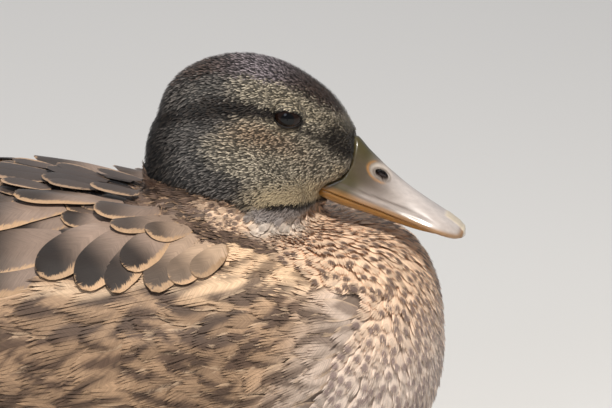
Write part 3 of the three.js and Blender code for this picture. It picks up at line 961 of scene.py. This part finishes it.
def eyelids(name, side):
    """The lids: a thin bare rim on the ball, and a mound that carries the small feathers."""
    rows, columns = 22, 80
    share, angle = tube(np.linspace(0, 1, rows) ** 1.4, columns)
    cos, sin = np.cos(angle), np.sin(angle)
    a = ((LID_WIDTH + LID_MOUND * share) * np.sign(cos) * np.abs(cos) ** (1 + 0.25 * (1 - share)))
    b = (LID_HEIGHT + LID_MOUND * share) * sin * (1 - 0.12 * (sin < 0) * (1 - share))
    across, upward = turned(a, b, -LID_TILT)
    from_middle = np.minimum(np.hypot(a, b), 5.5)
    depth = np.sqrt((EYE_RADIUS + 0.1) ** 2 - from_middle ** 2)
    on_ball = stacked(EYE[0] + across, side * (EYE[1] + depth), EYE[2] + upward)
    flat, normal = BARE_SKIN.snap(on_ball)
    points = on_ball + (flat - normal * 0.5 - on_ball) * smooth(0, 1, share)[:, None]
    over_ball = EYE[1] + np.sqrt(np.maximum((EYE_RADIUS + 0.15) ** 2 - a ** 2 - b ** 2, 0))
    points[:, 1] = side * (np.maximum(side * points[:, 1], over_ball)
                           + 0.3 * bump(0.09, 0.1, share))
    made = mesh_object("eyelids_" + name, points, tube_faces(rows, columns, side))
    set_color(made, "Base", mix(plumage(points) * 0.6, LID_RIM, fall(0.1, 0.2, share)))
    return finish_piece(made, "head_feathers", grained("lid_skin_" + name, 0.5, 0.4, 3200, 3,
                                                       0.5, 0.75, relief=(0.1, 0.8)))


# ---- legs and feet ----

FOOT_LIGHT = linear(214, 140, 74)
FOOT_DARK = linear(188, 112, 62)
FOOT_CREASE = linear(96, 52, 30)


def bare_legs():
    n = Nodes("foot_skin", 0.5, specular=0.4)
    place = n.place()
    scales = n.add("TexVoronoi", {"feature": "DISTANCE_TO_EDGE"}, Vector=place, Scale=620)
    cell = n.step(scales.outputs["Distance"], 0.02, 0.16)
    tone = n.mix(n.noise(place, 160, detail=3), FOOT_LIGHT, FOOT_DARK)
    n.colour(n.mix(n.scaled(cell, -0.5, 0.5), tone, FOOT_CREASE))
    n.relief(cell, 0.15, 0.8)
    for side in ("left", "right"):
        for part, voxel in (("leg", 0.6), ("foot", 0.5)):
            node = f"{part}_{side}"
            made = remeshed(f"{part}_skin_{side}", [node], voxel=voxel, swell=0, rounds=3)
            finish_piece(made, "foot", n.material, node)


# ---- camera, lights and floor ----

LIGHTS_AIM = Vector((0.08, 0, 0.09))      # metres, as the lights' places and sizes are
LIGHTS = [
    # name, place, size, power and colour
    ("key", (0.3, -0.72, 1.4), 0.26, 23, (1, 0.96, 0.9)),
    ("fill", (-0.55, -1.45, 0.95), 0.7, 3.4, (0.82, 0.89, 1)),
    ("back", (-0.2, 1.3, 1.1), 1, 5, (1, 0.98, 0.96)),
]
SKY_COLOUR = (0.86, 0.9, 1, 1)
SKY_STRENGTH = 0.26
FLOOR_COLOUR = (0.72, 0.71, 0.69)
FLOOR_REACH = 4000


def make_camera():
    data = bpy.data.cameras.new("camera")
    data.lens = CAMERA_LENS
    data.sensor_width = 36
    data.clip_end = 50
    camera = link("camera", data)
    azimuth = math.radians(CAMERA_AZIMUTH_DEG)
    elevation = math.radians(CAMERA_ELEVATION_DEG)
    back = Vector((math.sin(azimuth) * math.cos(elevation),
                   -math.cos(azimuth) * math.cos(elevation), math.sin(elevation)))
    camera.location = (Vector(AIM) + back * CAMERA_DISTANCE) * MM
    camera.rotation_euler = back.to_track_quat("Z", "Y").to_euler()
    bpy.context.scene.camera = camera


def studio():
    corners = [(-1, -1, 0), (1, -1, 0), (1, 1, 0), (-1, 1, 0)]
    floor = mesh_object("floor", np.array(corners) * FLOOR_REACH, [[0, 1, 2, 3]])
    n = Nodes("pale_floor", 0.9, specular=0.1)
    n.colour(FLOOR_COLOUR)
    floor.data.materials.append(n.material)
    for name, place, size, power, colour in LIGHTS:
        data = bpy.data.lights.new(name, "AREA")
        data.shape = "DISK"
        data.size = size
        data.energy = power
        data.color = colour
        light = link(name, data)
        light.location = place
        light.rotation_euler = (LIGHTS_AIM - Vector(place)).to_track_quat("-Z", "Y").to_euler()
    world = bpy.data.worlds.new("studio")
    world.use_nodes = True
    sky = world.node_tree.nodes["Background"].inputs
    sky["Color"].default_value = SKY_COLOUR
    sky["Strength"].default_value = SKY_STRENGTH
    bpy.context.scene.world = world
    bpy.context.scene.view_settings.view_transform = "Standard"


# ---- plumage, part by part ----

def varied(colour, roots, amount=0.08):
    """A colour for each feather, a little lighter or darker than its neighbours'."""
    number = len(roots)
    shade = RANDOM.normal(1, amount, number).clip(0.6, 1.5)
    return (np.broadcast_to(colour, (number, 3)) * shade[:, None])[:, None]


def tuft_colours(roots, v, u, points):
    """Fine streaks: most tufts dark at the root and pale at the tip, some dark throughout."""
    number = len(roots)
    plain = throat(roots)
    dark = RANDOM.random(number) < 0.42 * (1 - plain)
    depth = np.where(dark, 0.12, 0.36 + 0.4 * plain)
    tip = np.where(dark, 0.4, RANDOM.uniform(1, 3.2 - 1.7 * plain, number))
    ramp = depth[:, None] + v * (tip - depth)[:, None]
    strayed = roots + RANDOM.normal(0, 1, (number, 3)) * (0.8 - 0.5 * plain)[:, None]
    base = plumage(strayed)[:, None] * ramp[..., None]
    return base, base, base


def breast_colours(roots, v, u, points):
    """A dark spot on most feathers, greyer low down and faint in the collar."""
    base = varied(plumage(roots), roots)
    mark = mix(varied(BREAST_DARK, roots), BREAST_GREY, fall(62, 92, roots[:, 2:]))
    plain = RANDOM.random((len(roots), 1, 1)) < 0.35
    mark = mix(np.where(plain, base * 0.8, mark), base * 0.7, collar(roots)[:, None])
    return base, mark, base * 1.15


def ruff_colours(roots, v, u, points):
    base = varied(RUFF, roots, 0.3) * (0.6 + 0.6 * v[..., None])
    return base, base, varied(MANTLE_FRINGE, roots, 0.25)


def belly_colours(roots, v, u, points):
    base = varied(plumage(roots), roots)
    return base, base * 0.55, base * 1.12


def flank_colours(roots, v, u, points):
    """Wavy marks that run on from feather to feather, a little out of step at each."""
    strayed = points + RANDOM.normal(0, 1, (len(roots), 1, 3))
    base = flank_colour(strayed.reshape(-1, 3)).reshape(points.shape)
    base = base * varied(1, roots, 0.1)
    return base, base, mix(base, FLANK_PALE, 0.45)


def back_colours(tone=None):
    """Colours of the back: tone is 0 for the dark mantle and 1 for the pale shoulder."""
    def colours(roots, v, u, points):
        x, y, _ = roots.T
        own = smooth(14, 34, np.abs(y)) if tone is None else tone
        front = smooth(88, 120, x) * own
        pale = painted(MANTLE, (SCAPULAR, own), (SHOULDER, 0.5 * front))
        base = varied(pale, roots, 0.09)
        dark = smooth(0.3, 0.8, v + 0.12 * np.sign(y)[:, None] * u)
        dark = dark * ((1 - 0.4 * front) * (0.35 + 0.65 * own))[:, None]
        edge = varied(mix(MANTLE_FRINGE, FRINGE, own), roots, 0.14)
        return mix(base, SCAPULAR_DARK, dark), varied(FLANK_DARK * 0.8, roots), edge
    return colours


def flight_colours(colour, edge_colour):
    def colours(roots, v, u, points):
        base = varied(colour, roots) * (1.08 - 0.3 * v[..., None])
        return base, base * 0.6, varied(edge_colour, roots)
    return colours


def scattered(part, spacing, x=(-500, 500), low=(-500, 500)):
    """Roots on this part of the plumage, outside the eye openings and off the face hidden by the
    bill, within limits of x and of depth under the line where the head's plumage ends."""
    def wanted(points, normals):
        hidden = (behind_feathers(points) < 1) & (normals[:, 0] > 0.75) & (points[:, 2] > 108)
        inside = (regions(points)[part] > 0.5) & (eye_reach(points) > 1.12) & ~hidden
        depth = neck_line(points[:, 0]) - points[:, 2]
        for value, (least, most) in ((points[:, 0], x), (depth, low)):
            inside &= (value >= least) & (value < most)
        return inside
    return SKIN.scatter(spacing, wanted)


def both_sides(rows):
    """A table of feathers of the right side, with its mirror image for the left."""
    table = np.array(rows, dtype=float)
    mirror = table.copy()
    mirror[:, [1, 4]] *= -1
    return np.concatenate([table, mirror])


def in_a_row(count, root, tip, root_step, tip_step):
    """A table of roots and tips, each a step on from the last."""
    step = np.arange(count)[:, None]
    return both_sides(np.hstack([root + step * np.array(root_step),
                                 tip + step * np.array(tip_step)]))


def body_coat(name, slot, material, part, colours, layers, **look):
    """A coat over one part. layers are (spacing, length, width, rise at the tip, limits)."""
    coat = Coat("feathers_" + name)
    for spacing, length, width, high, limits in layers:
        roots = scattered(part, spacing, **limits)
        grow(coat, roots, length, width, (0.3, high), colours, **look)
    coat.piece(slot + "_feathers", material)


def aimed_coat(name, slot, material, table, width, rise, colours, **look):
    """A coat from a table of roots and tips."""
    coat = Coat("feathers_" + name)
    grow(coat, table[:, :3], 1, width, rise, colours, aims=table[:, 3:6], conform=True, **look)
    coat.piece(slot + "_feathers", material)


def free_feathers(coat, roots, heading, tilt, drop, length, width, colours, **look):
    """Flight feathers that stand clear of the skin. Each measure is one for all, or one each."""
    heading, length, width = (np.broadcast_to(a, len(roots)) for a in (heading, length, width))
    along = unit(stacked(-np.cos(heading), np.sin(heading), -drop))
    up = in_plane(stacked(0, -np.sin(tilt), np.cos(tilt)), along)
    steps = feather_steps(26)
    p = roots[:, None] + along[:, None] * steps[None, :, None] * length[:, None, None]
    n, d = (np.broadcast_to(a[:, None], p.shape) for a in (up, along))
    lay(coat, (p, n, d), roots, length, width, (0, 0), colours, steps, jitter=0, **look)


# feathers of the right shoulder and back that overlap in rows: root, tip, width, how high they
# lie over the skin, and tone
SHOULDER_FEATHERS = both_sides([
    (60, -48, 104, 24, -63, 97, 21, 0.2, 0.95), (58, -62, 97, 26, -69, 90, 16, 0, 0.75),
    (76, -35, 107, 52, -66, 94, 18, 0.4, 1), (84, -35, 106, 67, -68, 90, 16, 0.6, 1),
    (89, -37, 105, 78, -68, 89, 15, 0.7, 0.95), (94, -36, 105, 83, -61, 95, 14, 1.2, 1),
    (104, -37, 104, 92, -66, 89, 14, 0.9, 1), (110, -41, 102, 100, -63, 91, 12, 1, 0.95),
    (116, -42, 101, 107, -60, 93, 11, 1.1, 0.95), (76, -16, 109, 38, -28, 113, 16, 1.2, 0.9),
    (56, -29, 111, 20, -47, 107, 18, 0.5, 0.95), (90, -21, 109, 66, -32, 109, 15, 0.9, 0.7),
    (97, -28, 107, 75, -41, 106, 14, 0.8, 0.8), (102, -33, 105, 88, -43, 104, 13, 0.9, 0.85),
    (50, -3, 113, 24, -5, 115, 15, 2.2, 0), (68, -4, 111, 45, -7, 113, 14, 2.3, 0),
    (49, -14, 113, 31, -16, 114, 11, 2.4, 0.1), (66, -8, 111, 48, -13, 113, 10, 2.6, 0.05),
    (80, -10, 110, 63, -12, 112, 10, 2.8, 0.1),
])
# the same, without tone, for the feathers along the top of the flank
FLANK_FEATHERS = both_sides([
    (44, -70, 88, 2, -76, 83, 13, 0.3), (62, -69, 88, 22, -77, 80, 13, 0.4),
    (80, -68, 88, 40, -76, 81, 13, 0.5), (98, -65, 89, 58, -74, 82, 13, 0.6),
    (114, -61, 91, 76, -71, 84, 13, 0.7), (130, -56, 92, 94, -67, 86, 12, 0.8),
])


def head_coat():
    material = feather_material("head_tufts", barb=0.1, shade=0.1)
    for name, x, spacing, length, width, rise in (
            ("face", (124, 170), 0.44, 2, 0.45, 0.95),
            ("crown", (100, 124), 0.52, 2.7, 0.52, 1.3),
            ("nape", (60, 100), 0.58, 3.4, 0.6, 1.6)):
        coat = Coat("tufts_" + name)
        grow(coat, scattered("head", spacing, x), length, width, (0.1, rise), tuft_colours,
             swing=0.2, rows=4, across=1, base=0.8, widest=0.4, camber=0, split=0.25,
             jitter=0.25)
        coat.piece("head_feathers", material)


def breast_coat():
    material = feather_material("breast_feathers", (0.2, 1), spot_mm=(1.05, 2.25))
    body_coat("breast", "body", material, "breast", breast_colours, [
        (1.7, 5, 2.9, 1.9, {"low": (-50, 9)}),
        (2.5, 8.5, 5, 2.6, {"low": (9, 150)}),
    ], rows=6, split=0.16, point=7, spot_at=0.8, swing=0.12)
    material = feather_material("ruff_feathers", (0.1, 0.6), barb=0.35)
    body_coat("ruff", "body", material, "ruff", ruff_colours, [(1.9, 7.5, 3.2, 2.2, {})],
              rows=6, across=4, split=0.12, swing=0.16)


def back_coat():
    material = feather_material("back_feathers", (-0.2, 1.5), barb=0.42, ragged=3)
    body_coat("mantle", "body", material, "mantle", back_colours(), [
        (4.6, 15, 9.5, 2.2, {"x": (52, 200)}),
        (6, 19, 12, 3, {"x": (-100, 52)}),
        (7, 30, 13, 3.6, {"x": (-200, -100)}),
    ], rows=8, across=8, conform=True, swing=0.1)
    width, level, tone = SHOULDER_FEATHERS[:, 6:].T
    aimed_coat("shoulder", "wing", material, SHOULDER_FEATHERS, width,
               (0.8 + level, 3 + level), back_colours(tone), rows=20, across=12, camber=0.05,
               lopsided=2.6)
    body_coat("shoulder_under", "wing", material, "wing", back_colours(), [
        (7, 22, 14, 1.5, {"x": (28, 200)}),
        (11, 42, 18, 2, {"x": (-30, 28)}),
        (11, 34, 17, 1.4, {"x": (-150, -30)}),
    ], rows=12, across=8, conform=True, widest=0.68, camber=0.06, lopsided=1.2, swing=0.12)


def flank_coat():
    material = feather_material("flank_feathers", (0.1, 1.4), barb=0.45, ragged=2)
    body_coat("flank", "body", material, "flank", flank_colours, [
        (4.6, 17, 9.5, 2.2, {"x": (96, 500)}),
        (6.6, 28, 14, 2.3, {"x": (-110, 96)}),
        (8, 30, 15, 2.4, {"x": (-300, -110)}),
    ], rows=9, across=10, conform=True, split=0.2, point=9, swing=0.16, camber=0.06)
    material = feather_material("flank_top_feathers", (0.3, 2.2), barb=0.45, ragged=2)
    width, level = FLANK_FEATHERS[:, 6:].T
    aimed_coat("flank_top", "body", material, FLANK_FEATHERS, width,
               (0.8 + level, 2 + level), flank_colours, rows=16, across=12, split=0.1,
               point=9, lopsided=-2, camber=0.06)
    material = feather_material("belly_feathers", (0.3, 1))
    body_coat("belly", "body", material, "belly", belly_colours, [(5, 13, 7.5, 1.4, {})],
              rows=5, across=5, split=0.12)


def wing_and_tail():
    """Long feathers: the blue band, those that cover the folded wing, the tail, the wingtips."""
    material = feather_material("speculum_feathers", (0.9, 1.5), barb=0.2, roughness=0.35)
    table = in_a_row(9, (-8, -64, 92), (-54, -59, 83), (-8.5, 2.2, -1.6), (-8.5, 2.2, -1.6))
    aimed_coat("speculum", "wing", material, table, 13, (1.8, 3.6),
               flight_colours(linear(38, 48, 112), linear(214, 208, 196)), rows=14, across=8,
               widest=0.75)
    flight = feather_material("flight_feathers", (0.3, 1.3), shaft=linear(40, 32, 28), barb=0.35)
    table = in_a_row(5, (6, -30, 108), (-100, -15, 97), (-7, -5, -3), (13, -7, -2.6))
    level = np.tile(5.6 - 0.6 * np.arange(5), 2)
    aimed_coat("tertial", "wing", flight, table, 19, (level - 1.6, level),
               flight_colours(SCAPULAR * 0.55, FRINGE), rows=24, across=12, widest=0.5,
               lopsided=2)
    coat = Coat("feathers_tail")
    share = np.linspace(-1, 1, 18)
    roots = stacked(-118, 9 * share, 68.1 - 5.6 * np.abs(share))
    free_feathers(coat, roots, share * math.radians(17), 0.5 * share, 0, 81.5 - 9 * share ** 2,
                  16, flight_colours(linear(108, 86, 70), linear(200, 174, 142)), across=12,
                  base=0.35, widest=0.75, camber=0.16)
    material = feather_material("tail_feathers", (0.2, 0.9), shaft=linear(70, 54, 44))
    coat.piece("tail_feathers", material)
    coat = Coat("feathers_primary")
    for sign in (-1, 1):
        i = np.arange(6)
        roots = stacked(-68, sign * (16 + 1.5 * i), 99.4 - 0.8 * i)
        free_feathers(coat, roots, -0.12 * sign, -0.3 * sign, 0.17, 92 - 6.5 * i, 12.5,
                      flight_colours(linear(66, 54, 47), linear(110, 90, 74)), across=10,
                      base=0.5, widest=0.55, camber=0.1)
    coat.piece("wing_feathers", flight, "wingtip_left", "wingtip_right")


# ---- the duck ----

make_camera()
studio()
skin = make_skin()
BARE_SKIN = Surface(skin)
set_color(skin, "Base", plumage(BARE_SKIN.points))
finish_piece(skin, "body_feathers", grained("skin", 0.8, 0.2, 900, 3, 0.5, 0.5), *FLESH)
upper_bill()
lower_bill()
lids = []
for side_name, side_sign in (("left", 1), ("right", -1)):
    eyeball(side_name, side_sign)
    lids.append(eyelids(side_name, side_sign))
bare_legs()
SKIN = Surface(skin, *lids)
head_coat()
breast_coat()
back_coat()
flank_coat()
wing_and_tail()
